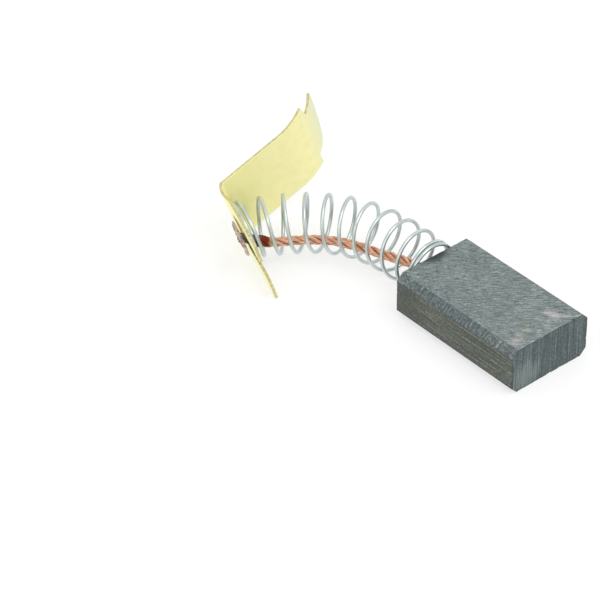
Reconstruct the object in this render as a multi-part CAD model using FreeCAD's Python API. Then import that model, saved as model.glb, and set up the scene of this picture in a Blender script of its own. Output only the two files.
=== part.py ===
import FreeCAD, Part
import bisect
import math
import os

os.makedirs("parts", exist_ok=True)

V = FreeCAD.Vector

# Carbon block, lying on its lower face: +X points to the spring, the origin is under its middle
block_length = 20.6
block_width = 12.5
block_height = 6.3
edge_chamfer = 0.9

# Blind hole in the middle of the spring end, where the pigtail is tamped in
hole_radius = 1.2
hole_depth = 3.8
plug_recess = 0.1
plug_clearance = 0.01

# Pigtail, drawn with flat sides and the section area of the round cord
cord_radius = 0.64
cord_sides = 16
cord_end_gap = 0.6

# Axis of the bent spring, from the middle of the block's spring end to its seat on the terminal:
# straight for a short way at both ends, and one cubic curve between them
axis_height = 4.08
axis_straight = 1.0
seat_reach = 22.14
seat_aside = 12.84
seat_height = 3.76
seat_heading = math.radians(68.5)
seat_dip = math.radians(17.4)
start_pull = 8.95
end_pull = 12.83
end_pull_heading = math.radians(62.0)
end_pull_dip = math.radians(2.5)
ring_lag = 0.27
axis_steps = 240

# Spring wire, drawn with flat sides and the section area of the round wire
wire_radius = 0.25
wire_sides = 6
coil_radius = 3.7
coil_start_turn = 0.05
closed_turns = 1
active_turns = 10
closed_gap = 0.02
seat_clearance = 0.01
corners_per_turn = 12

# Terminal, bent from one strip
sheet = 0.4
strip_width = 9.3
fork_length = 14.1
seat_to_fold = 3.99
fold_radius = 0.5
fold_turn = math.radians(68.2)
wing_straight = 10.5
wing_curl_radius = 9.5
wing_curl_length = 4.9
tongue_length = 5.4
wing_flare = 0.55
bench_height = 0.0

# Slot between the two prongs, measured from the upper edge and from the fold
slot_start = 2.9
slot_end = 6.0
slot_root = 3.2
slot_corner = 0.5
prong_corner = 0.3

# Weld pad: the pressed end of the pigtail on the back of the terminal
pad_thickness = 0.5
pad_overlap = 0.5
pad_from_fold = 2.9
pad_length = 5.9
pad_corner = 1.0
pad_edge = 0.15

spring_face_x = block_length / 2.0
hole_height = block_height / 2.0


def direction(heading, dip):
    return V(math.cos(heading) * math.cos(dip), math.sin(heading) * math.cos(dip), -math.sin(dip))


def axis_line():
    # Points along the axis, and the distance along it at each
    begin = V(spring_face_x, 0, axis_height)
    seat = V(spring_face_x + seat_reach, seat_aside, seat_height)
    first = begin + V(axis_straight, 0, 0)
    last = seat - direction(seat_heading, seat_dip) * axis_straight
    pulls = (first, first + V(start_pull, 0, 0), last - direction(end_pull_heading, end_pull_dip) * end_pull, last)
    points = [begin]
    for i in range(axis_steps + 1):
        t = i / axis_steps
        shares = ((1 - t) ** 3, 3 * (1 - t) ** 2 * t, 3 * (1 - t) * t ** 2, t ** 3)
        points.append(sum((pull * share for pull, share in zip(pulls, shares)), V()))
    points.append(seat)
    distances = [0.0]
    for before, after in zip(points, points[1:]):
        distances.append(distances[-1] + (after - before).Length)
    return points, distances


axis_points, axis_distances = axis_line()
axis_length = axis_distances[-1]


def axis_frame(s):
    # Point on the axis at distance s, with the directions up, side and ahead of a ring of the spring
    # there: the rings start to turn later than the axis does, and end square to the terminal
    i = min(max(bisect.bisect(axis_distances, s) - 1, 0), len(axis_points) - 2)
    before, after = axis_points[i], axis_points[i + 1]
    point = before + (after - before).normalize() * (s - axis_distances[i])
    share = min(max((s - axis_straight) / (axis_length - 2.0 * axis_straight), 0.0), 1.0)
    heading = seat_heading * max(share - ring_lag, 0.0) / (1.0 - ring_lag)
    dip = seat_dip * share
    ahead = direction(heading, dip)
    up = direction(heading, dip - math.pi / 2.0)
    return point, up, ahead.cross(up), ahead


def from_axis(s, up_offset, side_offset):
    point, up, side, ahead = axis_frame(s)
    return point + up * up_offset + side * side_offset


def carbon_block():
    profile = []
    across = block_width / 2.0
    for y, z, y_in, z_in in ((-across, 0, 1, 1), (across, 0, -1, 1),
                             (across, block_height, -1, -1), (-across, block_height, 1, -1)):
        corner = [V(-spring_face_x, y + y_in * edge_chamfer, z), V(-spring_face_x, y, z + z_in * edge_chamfer)]
        profile += corner if y_in * z_in < 0 else corner[::-1]
    body = Part.Face(Part.makePolygon(profile + profile[:1])).extrude(V(block_length, 0, 0))
    hole = Part.makeCylinder(hole_radius, hole_depth, V(spring_face_x, 0, hole_height), V(-1, 0, 0))
    return body.cut(hole)


def reach(radius, sides):
    # Distance to the corners of a regular section with the area of a circle
    return radius * math.sqrt(2.0 * math.pi / (sides * math.sin(2.0 * math.pi / sides)))


def tamping_plug():
    # Tamped powder that fills the hole round the end of the pigtail
    mouth = V(spring_face_x - plug_recess, 0, hole_height)
    powder = Part.makeCylinder(hole_radius - plug_clearance, hole_depth - plug_recess - plug_clearance, mouth,
                               V(-1, 0, 0))
    bore = Part.makeCylinder(reach(cord_radius, cord_sides) + plug_clearance,
                             hole_depth - plug_recess - cord_end_gap + plug_clearance, mouth, V(-1, 0, 0))
    return powder.cut(bore)


def spring():
    # Each turn advances by the closed pitch, and the active turns add to it; the change of pitch is
    # spread over one turn, where the extra advance grows as the square of the turn
    wire_reach = reach(wire_radius, wire_sides)
    closed_pitch = 2.0 * wire_reach + closed_gap
    first_contact = math.acos((block_height - axis_height) / coil_radius) / (2.0 * math.pi)
    start = wire_reach + seat_clearance - closed_pitch * (first_contact - coil_start_turn)
    end = axis_length - wire_reach - seat_clearance
    turns = active_turns + 2 * closed_turns
    extra = (end - start - turns * closed_pitch) / active_turns
    corner_radius = coil_radius / math.cos(math.pi / corners_per_turn)

    def ramp(turn):
        if turn < -0.5:
            return 0.0
        if turn > 0.5:
            return turn
        return (turn + 0.5) ** 2 / 2.0

    corners = []
    for i in range(turns * corners_per_turn + 1):
        turn = i / corners_per_turn
        advance = closed_pitch * turn + extra * (ramp(turn - closed_turns) - ramp(turn - closed_turns - active_turns))
        angle = 2.0 * math.pi * (turn + coil_start_turn)
        corners.append(from_axis(start + advance, corner_radius * math.cos(angle), corner_radius * math.sin(angle)))
    path, radii = rounded_path(corners)
    return swept(path, wire_reach, wire_sides, corners[0], corners[1] - corners[0])


def rounded_path(corners):
    # Straight runs joined by tangent arcs; each arc takes 0.45 of the shorter run beside its corner
    edges, radii = [], []
    begin = corners[0]
    for before, corner, after in zip(corners, corners[1:], corners[2:]):
        ahead = (corner - before).normalize()
        onward = (after - corner).normalize()
        half_turn = ahead.getAngle(onward) / 2.0
        trim = 0.45 * min((corner - before).Length, (after - corner).Length)
        radius = trim / math.tan(half_turn)
        radii.append(radius)
        inward = (onward - ahead).normalize()
        middle = corner + inward * (radius / math.cos(half_turn) - radius)
        edges.append(Part.LineSegment(begin, corner - ahead * trim).toShape())
        edges.append(Part.Arc(corner - ahead * trim, middle, corner + onward * trim).toShape())
        begin = corner + onward * trim
    edges.append(Part.LineSegment(begin, corners[-1]).toShape())
    return Part.Wire(edges), radii


def swept(path, corner_reach, sides, start, along):
    ring = Part.makeCircle(corner_reach, start, along)
    return path.makePipeShell([Part.makePolygon(ring.discretize(sides + 1))], True, False)


def seat_edges():
    # Upper and lower edge of the strip, measured up from the spring's axis at the seat: the outer
    # face's lower edge stands on the same plane as the block
    seat, up, side, ahead = axis_frame(axis_length)
    lower = -(seat.z + sheet * ahead.z - bench_height) / up.z
    return lower + strip_width, lower


def place_at_seat(shape):
    # Local X is up the strip, Y towards the fold and Z out through the sheet
    seat, up, side, ahead = axis_frame(axis_length)
    shape.Matrix = FreeCAD.Matrix(up.x, side.x, ahead.x, seat.x, up.y, side.y, ahead.y, seat.y,
                                  up.z, side.z, ahead.z, seat.z, 0, 0, 0, 1)
    return shape


def strip_face(start, runs):
    # Section of the strip: walks its inner face run by run, each a length and a signed turn,
    # and closes it with the outer face; returns the face and the point and heading after each run
    point = start
    heading = 0.0
    inner, outer, stations = [], [], []
    for length, turn in runs:
        left = V(0, -math.sin(heading), math.cos(heading))
        if turn == 0.0:
            end = point + V(0, math.cos(heading), math.sin(heading)) * length
            inner.append(Part.LineSegment(point, end).toShape())
            outer.append(Part.LineSegment(point + left * sheet, end + left * sheet).toShape())
        else:
            radius = length / turn
            centre = point + left * radius
            left_mid = V(0, -math.sin(heading + turn / 2.0), math.cos(heading + turn / 2.0))
            left_end = V(0, -math.sin(heading + turn), math.cos(heading + turn))
            end = centre - left_end * radius
            inner.append(Part.Arc(point, centre - left_mid * radius, end).toShape())
            outer.append(Part.Arc(point + left * sheet, centre - left_mid * (radius - sheet),
                                  end + left_end * sheet).toShape())
        point = end
        heading += turn
        stations.append((point, heading))
    left = V(0, -math.sin(heading), math.cos(heading))
    tip = Part.LineSegment(point, point + left * sheet).toShape()
    tail = Part.LineSegment(start + V(0, 0, sheet), start).toShape()
    return Part.Face(Part.Wire(inner + [tip] + outer[::-1] + [tail])), stations


def prism(points, origin, along, normal, reach):
    # Prism over an outline given as (height above the strip's lower edge, distance along)
    outline = [origin + V(1, 0, 0) * height + along * distance for height, distance in points]
    face = Part.Face(Part.makePolygon(outline + outline[:1]))
    face.translate(normal * -reach)
    return face.extrude(normal * 2.0 * reach)


def terminal():
    upper, lower = seat_edges()
    setback = fold_radius * math.tan(fold_turn / 2.0)
    runs = [(fork_length - setback, 0.0),
            (fold_radius * fold_turn, -fold_turn),
            (wing_straight, 0.0),
            (wing_curl_length, wing_curl_length / wing_curl_radius),
            (tongue_length, tongue_length / wing_curl_radius)]
    prong_tip = seat_to_fold - fork_length
    face, stations = strip_face(V(lower, prong_tip, 0), runs)
    strip = face.extrude(V(strip_width + wing_flare, 0, 0))

    # Upper edge, which flares along the curl, and the wing's end: a narrow tongue between two notches
    corner, heading = stations[3]
    along = V(0, math.cos(heading), math.sin(heading))
    normal = V(0, -math.sin(heading), math.cos(heading))
    far = 3.0 * fork_length
    top = strip_width
    waste = [(top, -far), (top, -wing_curl_length), (top + wing_flare, -0.6), (top - 1.15, 0.0),
             (top - 0.9, 2.5), (top - 0.9, 3.9), (top - 1.6, 4.45), (top - 3.4, 4.35), (top - 5.6, 3.65),
             (top - 7.0, 2.75), (top - 7.45, 1.9), (top - 7.85, -0.1), (0.0, 0.0), (-1.0, 0.0), (-1.0, far),
             (2.0 * top, far), (2.0 * top, -far)]
    strip = strip.cut(prism(waste, corner, along, normal, far))

    # Slot, open at the prong tips
    root = seat_to_fold - slot_root
    slot = Part.makeBox(slot_end - slot_start, fork_length, 4.0 * sheet,
                        V(upper - slot_end, root - fork_length, -sheet))
    inner_corners = [edge for edge in slot.Edges
                     if edge.Length < 5.0 * sheet and abs(edge.CenterOfMass.y - root) < 0.01]
    strip = strip.cut(slot.makeFillet(slot_corner, inner_corners))
    tips = [edge for edge in strip.Edges
            if abs(edge.CenterOfMass.y - prong_tip) < 0.01 and abs(edge.Length - sheet) < 0.01]
    strip = strip.makeFillet(prong_corner, tips)
    return place_at_seat(strip)


def weld_pad():
    # Pressed pad on the back of the terminal, lapping both prongs beside the slot
    upper, lower = seat_edges()
    width = slot_end - slot_start + 2.0 * pad_overlap
    pad = Part.makeBox(width, pad_length, pad_thickness,
                       V(upper - slot_end - pad_overlap, seat_to_fold - pad_from_fold - pad_length, sheet))
    pad = pad.makeFillet(pad_corner, [edge for edge in pad.Edges if abs(edge.Length - pad_thickness) < 0.01])
    top = [edge for edge in pad.Edges if abs(edge.CenterOfMass.z - sheet - pad_thickness) < 0.01]
    return place_at_seat(pad.makeChamfer(pad_edge, top))


def shunt():
    # Corners of the pigtail's route as distance along the spring's axis, height above it and offset
    # to its side: straight in the hole, then inside the coils, through the slot and into the pad
    in_hole = hole_height - axis_height
    pad_depth = sheet + pad_thickness / 2.0
    route = [(cord_end_gap - hole_depth, in_hole, 0.0), (2.8, in_hole, 0.0), (8.7, -1.35, -1.5),
             (14.9, -1.45, -1.35), (19.75, -1.0, -1.9), (24.4, -0.15, -2.5),
             (axis_length + pad_depth, 1.37, -2.3)]
    path, radii = rounded_path([from_axis(*corner) for corner in route])
    cord = swept(path, reach(cord_radius, cord_sides), cord_sides, from_axis(*route[0]), V(1, 0, 0))
    print("pigtail bend radii", ", ".join("%.1f mm" % radius for radius in radii))
    print("pigtail route %.2f mm, section times length %.2f mm3, volume %.2f mm3"
          % (path.Length, math.pi * cord_radius ** 2 * path.Length, cord.Volume))
    return cord.fuse(weld_pad()).removeSplitter()


nodes = {"carbon_block": carbon_block, "tamping_plug": tamping_plug, "shunt": shunt,
         "spring": spring, "terminal": terminal}
for name, make in nodes.items():
    shape = make()
    shape = shape.Solids[0] if len(shape.Solids) == 1 else shape
    box = shape.BoundBox
    print("%-13s %s solids %d volume %.2f x %.2f..%.2f y %.2f..%.2f z %.2f..%.2f"
          % (name, "valid" if shape.isValid() else "NOT VALID", len(shape.Solids), shape.Volume,
             box.XMin, box.XMax, box.YMin, box.YMax, box.ZMin, box.ZMax))
    shape.exportStep("parts/" + name + ".step")
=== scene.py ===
import bpy
import math
import numpy as np
from mathutils import Matrix


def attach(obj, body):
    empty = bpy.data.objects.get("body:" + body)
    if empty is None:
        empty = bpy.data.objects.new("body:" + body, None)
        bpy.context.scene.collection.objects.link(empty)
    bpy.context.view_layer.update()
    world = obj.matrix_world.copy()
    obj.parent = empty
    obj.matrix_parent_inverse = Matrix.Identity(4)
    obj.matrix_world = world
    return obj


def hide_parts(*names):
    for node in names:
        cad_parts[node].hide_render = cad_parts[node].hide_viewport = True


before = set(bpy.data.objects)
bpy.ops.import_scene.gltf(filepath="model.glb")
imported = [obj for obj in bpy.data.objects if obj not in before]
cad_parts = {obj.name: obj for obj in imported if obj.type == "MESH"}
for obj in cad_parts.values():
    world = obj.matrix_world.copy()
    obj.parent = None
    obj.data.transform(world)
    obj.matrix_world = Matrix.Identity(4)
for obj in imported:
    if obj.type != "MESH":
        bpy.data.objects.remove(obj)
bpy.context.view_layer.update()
mm = 0.001


# Colours are written as sRGB hex and turned into Blender's linear values
def linear(hexColour):
    channels = [int(hexColour[i:i + 2], 16) / 255.0 for i in (1, 3, 5)]
    return tuple(c / 12.92 if c <= 0.04045 else ((c + 0.055) / 1.055) ** 2.4 for c in channels) + (1.0,)


# Sets a node's inputs by name or number. A node stands for its first output in use, (node, output)
# for that output, and a text is a hex colour
def feed(node, inputs):
    for name, value in inputs.items():
        if isinstance(value, bpy.types.Node):
            value = (value, [output.enabled for output in value.outputs].index(True))
        if isinstance(value, tuple) and isinstance(value[0], bpy.types.Node):
            node.id_data.links.new(value[0].outputs[value[1]], node.inputs[name])
        else:
            node.inputs[name].default_value = linear(value) if isinstance(value, str) else value


# Adds a node with its settings and inputs; a colour ramp also takes its stops as (value, hex colour)
def add(tree, kind, inputs=None, stops=None, **settings):
    node = tree.nodes.new(kind)
    for name, value in settings.items():
        setattr(node, name, value)
    feed(node, inputs or {})
    if stops:
        elements = node.color_ramp.elements
        while len(elements) < len(stops):
            elements.new(0.5)
        for element, (place, colour) in zip(elements, stops):
            element.position = place
            element.color = linear(colour)
    return node


# Lays a tone over a colour. Its share is the product of most and of one smooth rise for each
# (source, low, high): 0 where the source is low, 1 where it is high
def lay(tree, colour, tone, *rises, most=1.0, blend="MIX"):
    share = most
    for source, low, high in rises:
        values = {"Value": source, "From Min": low, "From Max": high, "To Max": share}
        share = add(tree, "ShaderNodeMapRange", values, interpolation_type="SMOOTHSTEP")
    values = {0: share, 6: colour, 7: tone}
    return add(tree, "ShaderNodeMix", values, data_type="RGBA", blend_type=blend)


# Noise read at a place in millimetres, stretched by the size of its grain along each direction
def grain(tree, place, size, detail=4.0, rough=0.55):
    scale = add(tree, "ShaderNodeMapping", {"Vector": place, "Scale": tuple(1.0 / s for s in size)})
    values = {"Vector": scale, "Scale": 1.0, "Detail": detail, "Roughness": rough}
    return add(tree, "ShaderNodeTexNoise", values)


# Object coordinates in millimetres
def solidPlace(tree):
    place = add(tree, "ShaderNodeTexCoord")
    return add(tree, "ShaderNodeMapping", {"Vector": (place, "Object"), "Scale": (1 / mm, 1 / mm, 1 / mm)})


# New material with its node tree and its shader
def newMaterial(name, roughness, metallic=0.0):
    material = bpy.data.materials.new(name)
    material.use_nodes = True
    shader = material.node_tree.nodes["Principled BSDF"]
    feed(shader, {"Roughness": roughness, "Metallic": metallic})
    return material, material.node_tree, shader


# Gives the shader its colour, and bumps as deep as the given millimetres
def finishShader(tree, shader, colour, height, depth):
    bump = add(tree, "ShaderNodeBump", {"Height": height, "Distance": depth * mm, "Strength": 1.0})
    feed(shader, {"Base Color": colour, "Normal": bump})


# Makes a piece from numpy arrays: points in millimetres, faces as rows of indices, and for each face
# corner its place on the material in millimetres
def makePiece(name, points, quads, flat, materials, node, smoothAngle=40.0, attributes=None):
    mesh = bpy.data.meshes.new(name)
    mesh.vertices.add(len(points))
    mesh.vertices.foreach_set("co", (np.asarray(points, float) * mm).ravel())
    quads = np.asarray(quads, int)
    mesh.loops.add(quads.size)
    mesh.loops.foreach_set("vertex_index", quads.ravel())
    mesh.polygons.add(len(quads))
    mesh.polygons.foreach_set("loop_start", np.arange(0, quads.size, quads.shape[1]))
    mesh.update(calc_edges=True)
    mesh.uv_layers.new(name="flat").data.foreach_set("uv", np.asarray(flat, float).ravel())
    for title, values in (attributes or {}).items():
        mesh.attributes.new(title, "FLOAT", "FACE").data.foreach_set("value", np.asarray(values, float))
    mesh.validate()
    piece = bpy.data.objects.new(name, mesh)
    bpy.context.collection.objects.link(piece)
    for material in materials:
        mesh.materials.append(material)
    mesh.polygons.foreach_set("use_smooth", np.ones(len(mesh.polygons), bool))
    mesh.set_sharp_from_angle(angle=math.radians(smoothAngle))
    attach(piece, "root")
    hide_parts(node)
    return piece


# Quads of a grid of rows and columns; either way may close on itself
def gridQuads(rows, columns, closed, closedRows=False):
    rowSteps = rows if closedRows else rows - 1
    columnSteps = columns if closed else columns - 1
    i, j = np.meshgrid(np.arange(rowSteps), np.arange(columnSteps), indexing="ij")
    k, n = (j + 1) % columns, (i + 1) % rows
    return np.stack([i * columns + j, i * columns + k, n * columns + k, n * columns + j], -1).reshape(-1, 4)


# Corner places of the same quads, from the row values and the column values
def gridFlat(rowValues, columnValues):
    a, b = np.meshgrid(np.arange(len(rowValues) - 1), np.arange(len(columnValues) - 1), indexing="ij")
    a, b = a.ravel(), b.ravel()
    u = np.stack([rowValues[a], rowValues[a], rowValues[a + 1], rowValues[a + 1]], -1)
    v = np.stack([columnValues[b], columnValues[b + 1], columnValues[b + 1], columnValues[b]], -1)
    return np.stack([u, v], -1)


# Each row divided by its length
def unit(rows):
    return rows / np.linalg.norm(rows, axis=-1, keepdims=True)


# Distance from the first point of a line to each of its points: the running sum of the steps' lengths
def distances(line):
    return np.concatenate([[0.0], np.cumsum(np.linalg.norm(np.diff(line, axis=0), axis=1))])


# Soft unevenness, mostly between -1 and 1: twice the mean of eight sine waves of random direction and
# of about one size
def wobble(x, y, size, seed):
    rng = np.random.default_rng(seed)
    total = 0.0
    for turn, phase, stretch in rng.uniform(0, 1, (8, 3)):
        k = 2 * np.pi / (size * (0.6 + stretch))
        heading = 2 * np.pi * turn
        total = total + np.sin(k * (x * math.cos(heading) + y * math.sin(heading)) + 2 * np.pi * phase)
    return total / 4


# Sizes shared by the pieces, in millimetres, as in the frame
block = {"length": 20.6, "width": 12.5, "height": 6.3, "chamfer": 0.9, "edge": 0.1, "chips": 0.8,
         "holeRadius": 1.2, "holeDepth": 3.8, "marksWay": (0.65, 0.76)}
axis = {"height": 4.08, "straight": 1.0, "seat": (22.14, 12.84, 3.76), "heading": math.radians(68.5),
        "dip": math.radians(17.4), "startPull": 8.95, "endPull": 12.83, "pullHeading": math.radians(62.0),
        "pullDip": math.radians(2.5), "ringLag": 0.27}
cord = {"radius": 0.64, "endGap": 0.6, "strands": 5, "wires": 10, "wireRadius": 0.055, "lay": 6.6,
        "strandLay": 3.4, "flare": 0.3, "drift": 0.35}


# Vector of length one that points aside by the heading and down by the dip
def direction(heading, dip):
    return np.stack([np.cos(heading) * np.cos(dip), np.sin(heading) * np.cos(dip), -np.sin(dip)], -1)


# The spring's axis: straight for a short way at both ends and one cubic curve between them,
# (1 - t)^3 a + 3 (1 - t)^2 t b + 3 (1 - t) t^2 c + t^3 d
def axisLine():
    begin = np.array([block["length"] / 2, 0.0, axis["height"]])
    seat = np.array(axis["seat"]) + (block["length"] / 2, 0.0, 0.0)
    first = begin + (axis["straight"], 0.0, 0.0)
    last = seat - direction(axis["heading"], axis["dip"]) * axis["straight"]
    second = first + (axis["startPull"], 0.0, 0.0)
    third = last - direction(axis["pullHeading"], axis["pullDip"]) * axis["endPull"]
    t = np.linspace(0, 1, 241)[:, None]
    curve = first * (1 - t) ** 3 + second * 3 * (1 - t) ** 2 * t \
        + third * 3 * (1 - t) * t ** 2 + last * t ** 3
    return np.concatenate([begin[None], curve, seat[None]])


axisPoints = axisLine()
axisDistances = distances(axisPoints)
axisLength = axisDistances[-1]


# Share of the curved stretch of the axis that lies behind distance s
def axisShare(s):
    return np.clip((s - axis["straight"]) / (axisLength - 2 * axis["straight"]), 0, 1)


# Point on the axis at distance s, and the directions up, side and ahead of a ring of the spring there;
# the rings start to turn later than the axis does and end square to the terminal
def axisFrame(s):
    s = np.asarray(s, float)
    point = np.stack([np.interp(s, axisDistances, axisPoints[:, i]) for i in range(3)], -1)
    share = axisShare(s)
    heading = axis["heading"] * np.maximum(share - axis["ringLag"], 0) / (1 - axis["ringLag"])
    dip = axis["dip"] * share
    ahead, up = direction(heading, dip), direction(heading, dip - math.pi / 2)
    past = np.minimum(s, 0) + np.maximum(s - axisLength, 0)
    return point + ahead * past[..., None], up, np.cross(ahead, up), ahead


# Tube of round section along a path of points: ring i = path + radius (normal cos b + binormal sin b);
# the ends close through rings that shrink to a point
def tube(path, lean, radius, sides, rounding):
    ahead = unit(np.gradient(path, axis=0))
    normal = unit(lean - (lean * ahead).sum(-1, keepdims=True) * ahead)
    binormal = np.cross(ahead, normal)
    steps = np.array([(0.0, 0.0), (1.0 - 0.9 * rounding, 0.0), (1.0 - 0.3 * rounding, 0.3 * rounding),
                      (1.0, rounding)])
    b = np.linspace(0, 2 * np.pi, sides, endpoint=False)
    circle = normal[:, None] * np.cos(b)[None, :, None] + binormal[:, None] * np.sin(b)[None, :, None]
    radius = np.broadcast_to(np.asarray(radius, float), (len(path),))

    # rings of one end, from its middle out; way is the direction that leads back into the tube
    def endRings(i, way):
        back = (steps[:, 1] * radius[i] - rounding * radius[i])[:, None, None]
        return path[i] + circle[i][None] * (steps[:, 0] * radius[i])[:, None, None] + way * back

    middle = path[1:-1, None] + circle[1:-1] * radius[1:-1, None, None]
    rings = np.concatenate([endRings(0, ahead[0]), middle, endRings(-1, -ahead[-1])[::-1]])
    along = distances(path)
    rowValues = np.concatenate([np.full(4, along[0]), along[1:-1], np.full(4, along[-1])])
    columnValues = np.linspace(0, 1, sides + 1) * 2 * np.pi * radius[0]
    return rings.reshape(-1, 3), gridQuads(len(rings), sides, True), gridFlat(rowValues, columnValues)


print("materials")


# Moulded electrographite, sawn and ground: satin grey with slanting grinding marks and open pores on
# the large faces, a brown film where the flanks slide in the holder, upright wear marks on the end. Its
# own grain is too fine to show, so the speckle is drawn 0.3 mm coarse
def carbonMaterial():
    material, tree, shader = newMaterial("carbon", 0.55)
    place, solid = add(tree, "ShaderNodeUVMap", uv_map="flat"), solidPlace(tree)
    side = add(tree, "ShaderNodeAttribute", attribute_name="side")
    where = add(tree, "ShaderNodeSeparateXYZ", {"Vector": solid})
    marks = grain(tree, place, (1.2, 0.2, 1.0), 3.0, 0.65)
    speckle = grain(tree, solid, (0.3, 0.3, 0.3), 2.0, 0.7)
    clouds = grain(tree, solid, (2.6, 2.6, 2.6), 3.0, 0.6)
    lines = grain(tree, place, (9.0, 0.24, 1.0), 3.0, 0.6)
    stripes = grain(tree, place, (2.0, 0.24, 1.0), 3.0, 0.6)
    rub = grain(tree, place, (1.9, 0.7, 1.0), 5.0, 0.68)

    top = add(tree, "ShaderNodeValToRGB", {"Fac": marks},
              [(0.36, "#6C7E7E"), (0.5, "#98A6A5"), (0.64, "#B8C4C1")])
    cloudTone = add(tree, "ShaderNodeValToRGB", {"Fac": clouds},
                    [(0.34, "#707475"), (0.5, "#848686"), (0.66, "#9A9C9A")])
    speckleTone = add(tree, "ShaderNodeValToRGB", {"Fac": speckle},
                      [(0.34, "#464A4A"), (0.5, "#808080"), (0.66, "#B8BABA")])
    top = lay(tree, top, cloudTone, most=0.6, blend="OVERLAY")
    top = lay(tree, top, speckleTone, most=0.5, blend="OVERLAY")

    # pores, more of them towards the spring, and pale rubbed patches near the worn end
    pores = add(tree, "ShaderNodeTexVoronoi", {"Vector": solid, "Scale": 1.15, "Randomness": 1.0})
    top = lay(tree, top, "#3E4648", (pores, 0.27, 0.15), ((where, "X"), 1.0, 10.0), most=0.8)
    top = lay(tree, top, "#B9B6B5", (rub, 0.5, 0.78), ((where, "X"), -3.0, -8.5), most=0.9)
    for centre, size, tone in (((-8.2, 1.7, 6.3), 0.7, "#9BA084"), ((-8.8, 4.1, 6.3), 1.1, "#B0A6A4"),
                               ((-8.0, -2.8, 6.3), 1.3, "#B4B0B2")):
        away = add(tree, "ShaderNodeVectorMath", {0: solid, 1: centre}, operation="DISTANCE")
        uneven = add(tree, "ShaderNodeMath", {0: rub, 1: -4.0 * size, 2: away}, operation="MULTIPLY_ADD")
        top = lay(tree, top, tone, (uneven, -0.9 * size, -2.4 * size))

    # painted shadow of the spring's ring, darkening the top face where the ring leans on the edge
    ring = add(tree, "ShaderNodeVectorMath", {0: solid, 1: (11.6, 0.0, 6.3)}, operation="DISTANCE")
    top = lay(tree, top, "#343C3E", (ring, 3.2, 1.7))

    # the flanks are darker at the foot, towards the spring and just under the upper chamfer
    flank = add(tree, "ShaderNodeValToRGB", {"Fac": lines},
                [(0.36, "#434C43"), (0.47, "#5A645A"), (0.56, "#666C60"), (0.66, "#98957A")])
    flank = lay(tree, flank, "#5F5A5C", ((where, "Z"), 2.2, 0.9), most=0.5)
    flank = lay(tree, flank, "#50564E", ((where, "X"), 3.0, 9.5), most=0.6)
    flank = lay(tree, flank, "#4A4C46", ((where, "Z"), 5.1, 5.38), most=0.7)
    flank = lay(tree, flank, speckleTone, most=0.7, blend="OVERLAY")

    # the chamfers are striped along their middle and look like the top towards their ends
    chamfer = add(tree, "ShaderNodeValToRGB", {"Fac": stripes},
                  [(0.36, "#4E5C5E"), (0.5, "#657273"), (0.66, "#7E8C8C")])
    fromMiddle = add(tree, "ShaderNodeMath", {0: (where, "X"), 1: 1.0}, operation="SUBTRACT")
    fromMiddle = add(tree, "ShaderNodeMath", {0: fromMiddle}, operation="ABSOLUTE")
    chamfer = lay(tree, chamfer, top, (fromMiddle, 4.5, 8.5), most=0.7)
    chamfer = lay(tree, chamfer, speckleTone, most=0.6, blend="OVERLAY")

    # the worn end has a pale smear near its foot, and the end at the spring is darker all over
    end = add(tree, "ShaderNodeValToRGB", {"Fac": lines},
              [(0.34, "#3E4A4A"), (0.5, "#506060"), (0.66, "#728080")])
    end = lay(tree, end, speckleTone, most=0.6, blend="OVERLAY")
    smear = add(tree, "ShaderNodeVectorMath", {0: solid, 1: (-10.3, 3.9, 1.6)}, operation="DISTANCE")
    uneven = add(tree, "ShaderNodeMath", {0: lines, 1: -5.0, 2: smear}, operation="MULTIPLY_ADD")
    end = lay(tree, end, "#84908E", (uneven, 0.2, -1.8), most=0.45)
    end = lay(tree, end, "#3A3F3F", ((where, "X"), 9.0, 10.0))

    colour = top
    for code, part in ((1.0, flank), (2.0, end), (3.0, chamfer)):
        chosen = add(tree, "ShaderNodeMath", {0: (side, "Fac"), 1: code, 2: 0.1}, operation="COMPARE")
        colour = lay(tree, colour, part, most=chosen)
    height = add(tree, "ShaderNodeMath", {0: marks, 1: speckle}, operation="ADD")
    finishShader(tree, shader, colour, height, 0.045)
    return material


# Music wire, bright zinc plated, with faint drawing lines along it, which are drawn 0.12 mm wide because
# the real ones are too fine to show
def springMaterial():
    material, tree, shader = newMaterial("springSteel", 0.3, 0.8)
    lines = grain(tree, add(tree, "ShaderNodeUVMap", uv_map="flat"), (3.0, 0.12, 1.0), 3.0)
    colour = add(tree, "ShaderNodeValToRGB", {"Fac": lines},
                 [(0.3, "#A0ACAC"), (0.5, "#C6D0CF"), (0.7, "#E2E9E7")])
    finishShader(tree, shader, colour, lines, 0.004)
    return material


# Annealed copper wire, bright where it lies free, darkened between the strands by painted shade, reddened
# and then blackened by the weld's heat
def copperMaterial():
    material, tree, shader = newMaterial("copper", 0.38, 0.6)
    tone = grain(tree, add(tree, "ShaderNodeUVMap", uv_map="flat"), (1.6, 0.5, 1.0), 3.0)
    colour = add(tree, "ShaderNodeValToRGB", {"Fac": tone},
                 [(0.32, "#CC8E6E"), (0.5, "#EAB696"), (0.68, "#FFE6D2")])
    depth = add(tree, "ShaderNodeAttribute", attribute_name="depth")
    toWeld = add(tree, "ShaderNodeAttribute", attribute_name="toWeld")
    uneven = add(tree, "ShaderNodeMath", {0: tone, 1: -1.2, 2: (toWeld, "Fac")}, operation="MULTIPLY_ADD")
    # painted shade: the wires that lie deep in the rope, between the strands, are darkened
    colour = lay(tree, colour, "#7A3820", ((depth, "Fac"), 0.84, 0.56), most=0.85)
    colour = lay(tree, colour, "#8A3820", (uneven, 3.7, 3.1))
    colour = lay(tree, colour, "#7A7E76", (uneven, 2.2, 1.7))
    finishShader(tree, shader, colour, tone, 0.01)
    return material


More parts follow.
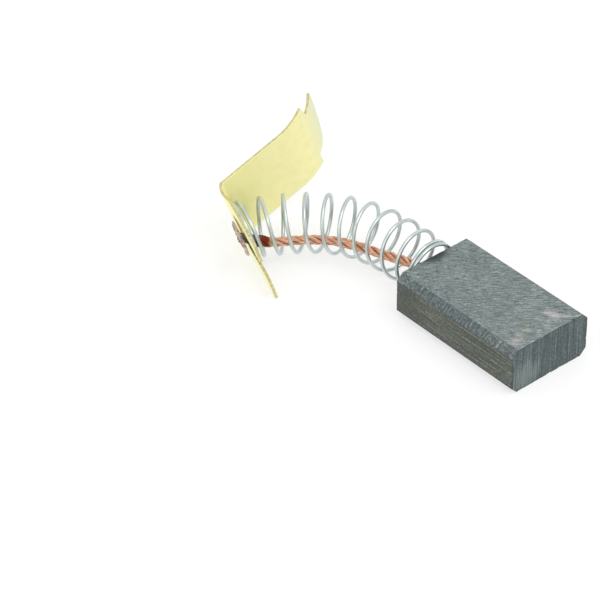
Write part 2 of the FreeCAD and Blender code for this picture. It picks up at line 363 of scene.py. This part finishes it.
# Copper melted and pressed flat by the weld: greyish pink on the ridges, burnt brown between them
def weldMaterial():
    material, tree, shader = newMaterial("weld", 0.5, 0.45)
    tone = grain(tree, solidPlace(tree), (0.9, 0.9, 0.9), 5.0, 0.65)
    colour = add(tree, "ShaderNodeValToRGB", {"Fac": tone},
                 [(0.34, "#5A4438"), (0.45, "#A28A7A"), (0.56, "#CBB6A8"), (0.68, "#B8B4A8")])
    finishShader(tree, shader, colour, tone, 0.15)
    return material


# Half-hard brass strip, bright rolled: an even pale yellow, faintly mottled, with painted light that makes it
# warmer and brighter towards the fold, and a painted pale grey reflection on the tongue
def brassMaterial():
    material, tree, shader = newMaterial("brass", 0.42, 0.5)
    place = add(tree, "ShaderNodeUVMap", uv_map="flat")
    mottle = grain(tree, place, (1.3, 1.0, 1.0), 5.0, 0.6)
    colour = add(tree, "ShaderNodeValToRGB", {"Fac": mottle},
                 [(0.3, "#F0E8A6"), (0.5, "#F4EEAE"), (0.7, "#F6F2B6")])
    along = (add(tree, "ShaderNodeSeparateXYZ", {"Vector": place}), "X")
    # painted light: brighter and warmer on the fork and fold, against the shade that falls there
    colour = lay(tree, colour, "#FFFBB4", (along, strip["fork"] + 11.0, strip["fork"] + 1.0), most=0.8)
    # painted reflection: paler and greyer on the tongue
    colour = lay(tree, colour, "#DCE2C4", (along, strip["fork"] + 13.0, strip["fork"] + 19.0), most=0.75)
    finishShader(tree, shader, colour, mottle, 0.01)
    return material


# The blanked edges of the same strip, rougher and darker
def brassEdgeMaterial():
    material, tree, shader = newMaterial("brassEdge", 0.45, 0.7)
    tone = grain(tree, solidPlace(tree), (0.5, 0.5, 0.3), 3.0)
    colour = add(tree, "ShaderNodeValToRGB", {"Fac": tone}, [(0.3, "#BEB47C"), (0.7, "#E6DEA8")])
    finishShader(tree, shader, colour, tone, 0.02)
    return material


# Tamped copper powder: dull orange brown with dark grains, drawn 0.12 mm coarse so that they show
def tampingMaterial():
    material, tree, shader = newMaterial("tamping", 0.7, 0.2)
    tone = grain(tree, solidPlace(tree), (0.12, 0.12, 0.12), 4.0, 0.7)
    colour = add(tree, "ShaderNodeValToRGB", {"Fac": tone},
                 [(0.35, "#4A2014"), (0.55, "#9A4A24"), (0.75, "#C8744A")])
    finishShader(tree, shader, colour, tone, 0.05)
    return material


print("block")


# Closed surface of rings: the worn end's middle, out to its edge, along the block and into the hole.
# Each ring is the chamfered section, drawn in where the edges are rounded, or the hole's circle
def blockPiece():
    w, h, c = block["width"] / 2, block["height"], block["chamfer"]
    corners = np.array([(-w + c, h), (w - c, h), (w, h - c), (w, c),
                        (w - c, 0), (-w + c, 0), (-w, c), (-w, h - c)])
    counts = [60, 8, 26, 8] * 2  # points on each of the section's eight sides
    section = np.concatenate([corners[i] + (corners[(i + 1) % 8] - corners[i]) * (np.arange(n) / n)[:, None]
                              for i, n in enumerate(counts)])
    kind = np.repeat([0, 3, 1, 3] * 2, counts)
    middle = np.array([0.0, h / 2])
    angle = np.arctan2(section[:, 1] - middle[1], section[:, 0] - middle[0])
    hole = middle + np.stack([np.cos(angle), np.sin(angle)], -1) * block["holeRadius"]

    # each ring: place along the block, size, and how far the rounding draws it in and back
    half = block["length"] / 2
    holeEnd = half - block["holeDepth"]
    bend = np.linspace(0, math.pi / 2, 5)
    shares = [(-half, s, 0.0, 0.0) for s in (0.01, 0.2, 0.4, 0.6, 0.8, 0.93)]
    shares += [(-half, 1.0, 1.0 - math.sin(b), 1.0 - math.cos(b)) for b in bend]
    shares += [(x, 1.0, 0.0, 0.0) for x in np.linspace(-half, half, 104)[2:-2]]
    shares += [(half, 1.0, 1.0 - math.sin(b), 1.0 - math.cos(b)) for b in bend[::-1]]
    rounded = len(shares)
    shares += [(half, 1.0, 1.0, 0.0)] * 4
    shares += [(x, 1.0, 0.0, 0.0) for x in (half - 0.05, half - 1.0, holeEnd)]
    shares += [(holeEnd, 0.01, 0.0, 0.0)]
    x, size, drawn, back = np.array(shares).T
    inward = np.concatenate([np.zeros(rounded), [0.2, 0.5, 0.8, 1.0], np.ones(4)])

    # the edges' rounding grows and shrinks along them, which leaves small chips
    chips = np.clip(wobble(section[:, 0], section[:, 1], 1.3, 3), 0, 1) * block["chips"]
    edge = block["edge"] * (1.0 + 2.0 * chips)[None, :] * np.where(x < 0, 1.0, 0.6)[:, None]
    toMiddle = unit(middle - section)
    shape = (section - middle)[None] * (1 - inward)[:, None, None] \
        + (hole - middle)[None] * inward[:, None, None]
    rings = middle + shape * size[:, None, None] \
        + toMiddle[None] * (edge * (drawn * (1 - inward))[:, None])[:, :, None]
    place = x[:, None] - np.sign(x)[:, None] * edge * back[:, None]
    points = np.concatenate([place[:, :, None], rings], -1).reshape(-1, 3)
    rows, columns = len(x), len(section)
    quads = gridQuads(rows, columns, True)[:, ::-1]

    # each face's side: 0 top or bottom, 1 flank, 2 end, 3 chamfer, and its place on that side
    column = np.tile(np.arange(columns), rows - 1)
    row = np.repeat(np.arange(rows - 1), columns)
    isEnd = (x[row] == x[row + 1]) & (np.abs(x[row]) == half) | (inward[row] > 0)
    side = np.where(isEnd, 2, kind[column])
    lengthwise, sideways, upright = np.moveaxis(points[quads], -1, 0)
    a, b = block["marksWay"]
    places = [(lengthwise * a + sideways * b, lengthwise * b - sideways * a), (lengthwise, upright),
              (upright, sideways), (upright * 1.4, lengthwise)]
    flat = np.select([(side == code)[:, None, None] for code in range(4)],
                     [np.stack(pair, -1) for pair in places])
    return makePiece("carbonBlock", points, quads, flat, [carbonMaterial()], "carbon_block", 30.0,
                     {"side": side})


blockPiece()

print("tamped plug")
plug = {"recess": 0.1, "clearance": 0.01, "cordGap": 0.02, "heave": 0.07}


# Ring of powder that fills the hole: a closed profile of radius and depth turned about the hole's
# middle, with an uneven mouth
def plugPiece():
    outer, inner = block["holeRadius"] - plug["clearance"], cord["radius"] + plug["cordGap"]
    bottom = block["length"] / 2 - block["holeDepth"] + plug["clearance"]
    mouth = block["length"] / 2 - plug["recess"]
    radius = np.concatenate([np.linspace(outer, inner, 9), [inner, inner, outer, outer]])
    x = np.concatenate([np.full(9, mouth), [mouth - 0.5, bottom, bottom, mouth - 0.5]])
    b = np.linspace(0, 2 * np.pi, 72, endpoint=False)
    y, z = radius[:, None] * np.cos(b), radius[:, None] * np.sin(b)
    onMouth = (np.arange(len(radius)) < 9)[:, None] * plug["heave"]
    points = np.stack([x[:, None] + onMouth * (wobble(y, z, 0.5, 5) - 0.4), y, z + block["height"] / 2], -1)
    quads = gridQuads(len(radius), len(b), True, True)
    corner = points.reshape(-1, 3)[quads]
    return makePiece("tampedPlug", points.reshape(-1, 3), quads, corner[..., 1:], [tampingMaterial()],
                     "tamping_plug", 50.0)


plugPiece()

print("spring")
# Lift holds the last turn off the terminal, and shrink and drop make the turn on the block narrower and
# lower. Shares, headings and dips say how the rings' planes turn along the axis, in degrees
wire = {"radius": 0.25, "coilRadius": 3.7, "startTurn": -0.35, "closedTurns": 1.4, "activeTurns": 9.85,
        "plateTurns": 1.3, "closedGap": 0.03, "easeTurns": 0.3, "clearance": 0.01, "lift": 0.12,
        "shrink": 0.2, "drop": 0.27, "shares": [0.0, 0.25, 0.5, 0.75, 0.93, 1.0],
        "headings": [0.0, -1.2, 23.9, 42.3, 58.0, 68.5], "dips": [0.0, 6.0, 6.0, 7.0, 9.5, 15.0]}


# Bent right-handed helix: point = axis(s) + coil radius (up cos a + side sin a), a = 2 pi turn, where s
# grows by the closed pitch a turn and by more in the active turns
def springPiece():
    turns = wire["closedTurns"] + wire["activeTurns"] + wire["plateTurns"]
    closedPitch = 2 * wire["radius"] + wire["closedGap"]
    start = wire["radius"] + wire["clearance"]
    end = axisLength - wire["radius"] - wire["clearance"] - wire["lift"]
    extra = (end - start - turns * closedPitch) / wire["activeTurns"]
    turn = np.linspace(0, turns, int(turns * 64) + 1)
    ease = wire["easeTurns"]

    # turns gone past t = 0, with a soft start
    def grow(t):
        return np.where(t < -ease, 0, np.where(t > ease, t, (t + ease) ** 2 / (4 * ease)))

    s = start + closedPitch * turn + extra * (grow(turn - wire["closedTurns"])
                                              - grow(turn - wire["closedTurns"] - wire["activeTurns"]))
    share = axisShare(s)
    heading = np.radians(np.interp(share, wire["shares"], wire["headings"]))
    dip = np.radians(np.interp(share, wire["shares"], wire["dips"]))
    point, ahead, up = axisFrame(s)[0], direction(heading, dip), direction(heading, dip - math.pi / 2)
    side = np.cross(ahead, up)
    angle = 2 * np.pi * (turn + wire["startTurn"])[:, None]
    radial = up * np.cos(angle) + side * np.sin(angle)
    seated = 0.5 - 0.5 * np.tanh(2.5 * (turn - wire["closedTurns"] - 0.5))[:, None]
    sag = wire["drop"] * (0.5 - 0.5 * np.tanh(0.8 * (turn - wire["closedTurns"] - 1.5)))
    path = point + radial * (wire["coilRadius"] - wire["shrink"] * seated) - sag[:, None] * [0, 0, 1]
    points, quads, flat = tube(path, radial, wire["radius"], 16, 0.25)
    return makePiece("spring", points, quads, flat, [springMaterial()], "spring", 50.0)


springPiece()

print("terminal")
# Along the strip from the prong tips come fork, fold, wing, curl and tongue. The places of the slot and
# of the notches are across it from its upper edge. The lists say how far the corners and the tongue's
# end lie beyond the curl, across the strip
strip = {"sheet": 0.4, "width": 9.3, "fork": 14.1, "seatToFold": 3.99, "foldRadius": 0.5,
         "foldTurn": math.radians(68.2), "wing": 10.5, "curlRadius": 9.5, "curl": 4.9, "tongue": 5.4,
         "slotStart": 2.9, "slotEnd": 6.0, "slotRoot": 3.2, "flare": 0.55, "bow": 0.35,
         "notches": (1.15, 7.85), "cornersBeyond": [-0.6, 0.0, -0.1, 0.0],
         "tongueAcross": [1.15, 1.6, 3.4, 5.6, 7.1, 7.85], "tongueBeyond": [3.9, 4.45, 4.35, 3.65, 2.75, 1.9]}
seatPoint, seatUp, seatSide, seatAhead = axisFrame(axisLength)
stripLower = -(seatPoint[2] + strip["sheet"] * seatAhead[2]) / seatUp[2]
foldStart = strip["fork"] - strip["foldRadius"] * math.tan(strip["foldTurn"] / 2)
foldEnd = foldStart + strip["foldRadius"] * strip["foldTurn"]


# Place beside the seat: up the strip, towards the fold and out through the sheet
def atSeat(up, side, out):
    return seatPoint + up[..., None] * seatUp + side[..., None] * seatSide + out[..., None] * seatAhead


# Place of a point of the strip's inner face, from its distance along the strip and down across it. The
# heading of the strip is a broken line along it, and the place is its running sum
def onStrip(along, across):
    curled = strip["curl"] + strip["tongue"]
    stations = np.cumsum([0, foldStart, foldEnd - foldStart, strip["wing"], curled])
    turns = [0, 0, -strip["foldTurn"], -strip["foldTurn"], -strip["foldTurn"] + curled / strip["curlRadius"]]
    fine = np.linspace(0, stations[-1], 6001)
    heading = np.interp(fine, stations, turns)
    half = fine[1] / 2
    y = np.concatenate([[0], np.cumsum((np.cos(heading[1:]) + np.cos(heading[:-1])) * half)])
    z = np.concatenate([[0], np.cumsum((np.sin(heading[1:]) + np.sin(heading[:-1])) * half)])
    bow = strip["bow"] * np.exp(-((along - strip["fork"] + 2.0) / 1.6) ** 2)
    bow = bow * np.clip(1 - across / strip["width"], 0, 1) * np.clip((strip["fork"] - along) / 0.8, 0, 1)
    return atSeat(stripLower + strip["width"] - across,
                  strip["seatToFold"] - strip["fork"] + np.interp(along, fine, y),
                  np.interp(along, fine, z) + bow)


# Places from break to break, each span in its own count of even steps, without the last break
def evenSteps(breaks, counts):
    return np.concatenate([np.linspace(a, b, n, endpoint=False)
                           for a, b, n in zip(breaks, breaks[1:], counts)])


# One grid over the flat strip, whose rows bend to the outline beyond the curl; the quads in the slot and
# beside the tongue are left out, and the rest is folded and given its thickness
def terminalPiece():
    curlStart = foldEnd + strip["wing"]
    corner = curlStart + strip["curl"]
    root = strip["fork"] - strip["slotRoot"]
    left, right = strip["notches"]
    breaks, counts = [0, left, strip["slotStart"], strip["slotEnd"], right, strip["width"]], [4, 6, 10, 6, 5]
    column = np.append(evenSteps(breaks, counts), strip["width"])
    slotRows = 40
    row = evenSteps([0, root, foldStart, foldEnd, curlStart, corner], [slotRows, 16, 8, 36, 18])

    # the rows on the curl stretch to the corners' line, and those of the tongue to its end
    cornerLine = np.interp(column, [0, left, right, strip["width"]], strip["cornersBeyond"])
    tongueEnd = np.interp(column, strip["tongueAcross"], strip["tongueBeyond"])
    along = np.repeat(row[:, None], len(column), 1)
    curled = curlStart + (along - curlStart) * (1 + cornerLine[None] / strip["curl"])
    along = np.where(along > curlStart, curled, along)
    t = np.linspace(0, 1, 15)[1:, None]
    along = np.concatenate([along, (corner + cornerLine)[None],
                            corner + cornerLine[None] + (tongueEnd - cornerLine)[None] * t])

    # the upper edge flares beside the tongue, and the tongue narrows away from its root
    across = np.repeat(column[None], len(along), 0)
    flare = strip["flare"] * np.clip((along - curlStart) / (strip["curl"] - 0.6), 0, 1)
    across = np.where(across < left, left - (left - across) * (1 + flare / left), across)
    beyond = np.clip(along - corner, 0, None)
    tongueLeft = left - 0.25 * np.clip(beyond / 2.5, 0, 1)
    tongueRight = right - 0.4 * np.clip(beyond / 1.9, 0, 1)
    narrowed = tongueLeft + (across - left) * (tongueRight - tongueLeft) / (right - left)
    inTongue = (np.arange(len(along)) > len(row))[:, None]
    across = np.where(inTongue, narrowed, across)

    points = onStrip(along, across).reshape(-1, 3)
    quads = gridQuads(len(along), len(column), False)
    i, j = np.divmod(np.arange(len(quads)), len(column) - 1)
    middle = (column[j] + column[j + 1]) / 2
    inSlot = (i < slotRows) & (middle > strip["slotStart"]) & (middle < strip["slotEnd"])
    besideTongue = (i >= len(row)) & ((middle < left) | (middle > right))
    quads = quads[~(inSlot | besideTongue)]
    flat = np.stack([along.ravel()[quads], across.ravel()[quads]], -1)
    used, quads = np.unique(quads, return_inverse=True)
    piece = makePiece("terminal", points[used], quads.reshape(-1, 4), flat,
                      [brassMaterial(), brassEdgeMaterial()], "terminal", 30.0)
    sheet = piece.modifiers.new("sheet", "SOLIDIFY")
    sheet.thickness = strip["sheet"] * mm
    sheet.offset = 1.0
    sheet.material_offset_rim = 1
    bevel = piece.modifiers.new("edge", "BEVEL")
    bevel.width = 0.04 * mm
    bevel.segments = 2
    bevel.limit_method = "ANGLE"
    bevel.angle_limit = math.radians(50)
    return piece


terminalPiece()

print("weld pad")
pad = {"thickness": 0.5, "halfWidth": 2.05, "halfLength": 2.6, "fromFold": 6.1, "middle": 4.45,
       "ragged": 0.09, "sheetGap": 0.01}


# Pressed pad: a rounded rectangle |x/a|^5 + |y/b|^5 = 1 with a ragged outline; its rings go from the
# middle of the lumpy outer face to its rim, down to the sheet and back to the middle
def padPiece():
    b = np.linspace(0, 2 * np.pi, 120, endpoint=False)
    reach = (np.abs(np.cos(b) / pad["halfWidth"]) ** 5 + np.abs(np.sin(b) / pad["halfLength"]) ** 5) ** -0.2
    reach = reach * (0.97 - pad["ragged"] + pad["ragged"] * wobble(np.cos(b) * 3, np.sin(b) * 3, 1.1, 11))
    share = np.concatenate([np.linspace(0.01, 0.96, 26), [0.99, 1.0, 0.985, 0.97, 0.5, 0.01]])
    lift = np.concatenate([np.ones(26), [0.9, 0.6, 0.25, 0.0, 0.0, 0.0]])
    x, y = share[:, None] * reach * np.cos(b), share[:, None] * reach * np.sin(b)
    lumps = 0.8 + 0.2 * wobble(x, y, 1.2, 7) - 0.08 * np.abs(wobble(x, y, 0.45, 8))
    lumps = lumps - 0.25 * share[:, None] ** 4
    out = strip["sheet"] + pad["sheetGap"] + pad["thickness"] * lift[:, None] * np.clip(lumps, 0.1, 1)
    upper = stripLower + strip["width"] - pad["middle"]
    points = atSeat(upper + x, strip["seatToFold"] - pad["fromFold"] + y, out)
    quads = gridQuads(len(share), len(b), True)
    flat = np.stack([x.ravel()[quads], y.ravel()[quads]], -1)
    return makePiece("weldPad", points.reshape(-1, 3), quads, flat, [weldMaterial()], "shunt", 50.0)


padPiece()

print("pigtail")
# The route's corners: distance along the spring's axis, and up and aside from it
inHole = block["height"] / 2 - axis["height"]
route = [(cord["endGap"] - block["holeDepth"], inHole, 0.0), (2.8, inHole, 0.0), (8.7, -1.24, -1.55),
         (14.9, -1.44, -1.35), (19.75, -1.21, -1.89), (24.4, -1.0, -2.42), (27.0, 0.02, -2.42),
         (axisLength + 0.65, 1.27, -2.29)]


# Smooth line through the middles between the route's corners: each span is the quadratic spline
# (1 - t)^2 / 2 a + (1/2 + t (1 - t)) b + t^2 / 2 c; it is read off again at even steps
def cordLine(rows):
    places = np.array(route)
    point, up, side, ahead = axisFrame(places[:, 0])
    corners = point + up * places[:, 1:2] + side * places[:, 2:3]
    padded = np.concatenate([corners[:1], corners, corners[-1:]])
    t = np.linspace(0, 1, 60, endpoint=False)[:, None]
    spans = [(1 - t) ** 2 / 2 * a + (0.5 + t * (1 - t)) * b + t ** 2 / 2 * c
             for a, b, c in zip(padded, padded[1:], padded[2:])]
    line = np.concatenate(spans + [corners[-1:]])
    along = distances(line)
    even = np.linspace(0, along[-1], rows)
    return np.stack([np.interp(even, along, line[:, i]) for i in range(3)], -1), even


# One value for each face of a tube: its three closing rings at each end take the end's value
def forFaces(values, sides):
    return np.repeat(np.concatenate([values[:1].repeat(3), values[:-1], values[-1:].repeat(3)]), sides)


# Rope of strands, each a rope of wires: strand = line + p (normal cos a + binormal sin a) and wire =
# strand + r (normal cos b - binormal sin b), where a and b grow evenly along the line. The wires are
# drawn thicker and fewer than the real ones, which are too fine to show. Each face has its depth, which
# is its distance from the line as a share of the rope's radius, and its distance to the weld
def pigtailPiece():
    line, along = cordLine(230)
    level = np.broadcast_to([0.0, 0.0, 1.0], line.shape)
    ahead = unit(np.gradient(line, axis=0))
    normal = unit(level - (level * ahead).sum(-1, keepdims=True) * ahead)
    binormal = np.cross(ahead, normal)
    swell = 1 + cord["flare"] * np.exp(-(along - along[-1] + 2.8) ** 2) + 0.04 * wobble(along, 0, 3.0, 21)
    strandRadius = cord["radius"] / (1 + 1 / math.sin(math.pi / cord["strands"]))
    pitchRadius = cord["radius"] - strandRadius
    allPoints, allQuads, allFlat, allDepth, allToWeld, count = [], [], [], [], [], 0
    wireSides, coreSides = 6, 14
    for k in range(cord["strands"]):
        drift = cord["drift"] * wobble(along, 7.0 * k, 5.0, 30 + k)
        angle = (2 * np.pi * (along / cord["lay"] + k / cord["strands"]) + drift)[:, None]
        strand = line + (normal * np.cos(angle) + binormal * np.sin(angle)) * (pitchRadius * swell)[:, None]
        for j in range(cord["wires"]):
            b = (2 * np.pi * (along / cord["strandLay"] + j / cord["wires"]))[:, None]
            lean = normal * np.cos(b) - binormal * np.sin(b)
            path = strand + lean * ((strandRadius - cord["wireRadius"]) * swell)[:, None]
            points, quads, flat = tube(path, lean, cord["wireRadius"] * swell, wireSides, 0.3)
            depth = np.linalg.norm(path - line, axis=1) / (cord["radius"] - cord["wireRadius"]) / swell
            allDepth.append(forFaces(depth, wireSides))
            allToWeld.append(forFaces(along[-1] - along, wireSides))
            allPoints.append(points)
            allQuads.append(quads + count)
            allFlat.append(flat + np.array([0.0, 20.0 * k + 2.1 * j]))
            count += len(points)
    core, quads, flat = tube(line, level, pitchRadius * swell, coreSides, 0.2)
    allDepth.append(np.full(len(quads), 0.5))
    allToWeld.append(forFaces(along[-1] - along, coreSides))
    allPoints.append(core)
    allQuads.append(quads + count)
    allFlat.append(flat)
    return makePiece("pigtail", np.concatenate(allPoints), np.concatenate(allQuads), np.concatenate(allFlat),
                     [copperMaterial()], "shunt", 60.0,
                     {"depth": np.concatenate(allDepth), "toWeld": np.concatenate(allToWeld)})


pigtailPiece()

print("stage")
# White is the share of the floor that glows to the camera; the rest shows the object's shadow
studio = {"world": 0.95, "white": 0.65, "key": 0.6, "keyPlace": (-0.25, -0.05, 0.45), "fill": 0.3,
          "fillPlace": (-0.1, 0.45, 0.3), "lampSize": 0.3, "floorSize": 4.0, "floorGap": 0.00002}
paper, paperTree, paperShader = newMaterial("paper", 0.9)
feed(paperShader, {"Base Color": "#FFFFFF"})
ray = add(paperTree, "ShaderNodeLightPath")
seen = add(paperTree, "ShaderNodeMath", {0: (ray, "Is Camera Ray"), 1: studio["white"]},
           operation="MULTIPLY")
seen = add(paperTree, "ShaderNodeMath", {0: seen, 1: (ray, "Is Glossy Ray")}, operation="MAXIMUM")
glow = add(paperTree, "ShaderNodeEmission", {"Color": "#FFFFFF", "Strength": 1.0})
both = add(paperTree, "ShaderNodeMixShader", {0: seen, 1: paperShader, 2: glow})
feed(paperTree.nodes["Material Output"], {"Surface": both})
bpy.ops.mesh.primitive_plane_add(size=studio["floorSize"], location=(0, 0, -studio["floorGap"]))
floor = bpy.context.object
floor.name = "floor"
floor.data.materials.append(paper)

world = bpy.data.worlds.new("studio")
bpy.context.scene.world = world
world.use_nodes = True
feed(world.node_tree.nodes["Background"], {"Color": "#FFFFFF", "Strength": studio["world"]})


# Round lamp that points at the origin
def softLight(name, place, power):
    data = bpy.data.lights.new(name, "AREA")
    data.shape = "DISK"
    data.size = studio["lampSize"]
    data.energy = power
    lamp = bpy.data.objects.new(name, data)
    bpy.context.collection.objects.link(lamp)
    x, y, z = place
    lamp.location = place
    lamp.rotation_euler = (math.atan2(math.hypot(x, y), z), 0, math.atan2(x, -y))


softLight("key", studio["keyPlace"], studio["key"])
softLight("fill", studio["fillPlace"], studio["fill"])

# Camera fitted to the corners of the block and the turns of the spring in the photo
view = {"lens": 169.35, "sensor": 36, "place": (-0.1945, 0.1929, 0.2143),
        "right": (-0.646, -0.7633, -0.0083), "up": (0.4595, -0.3975, 0.7943),
        "back": (-0.6096, 0.5093, 0.6075)}
camera = bpy.data.objects.new("camera", bpy.data.cameras.new("camera"))
bpy.context.collection.objects.link(camera)
camera.data.lens = view["lens"]
camera.data.sensor_width = view["sensor"]
camera.data.clip_start = 0.01
camera.data.clip_end = 10
camera.rotation_euler = Matrix([view["right"], view["up"], view["back"]]).transposed().to_euler()
camera.location = view["place"]
bpy.context.scene.camera = camera
bpy.context.scene.view_settings.view_transform = "Standard"
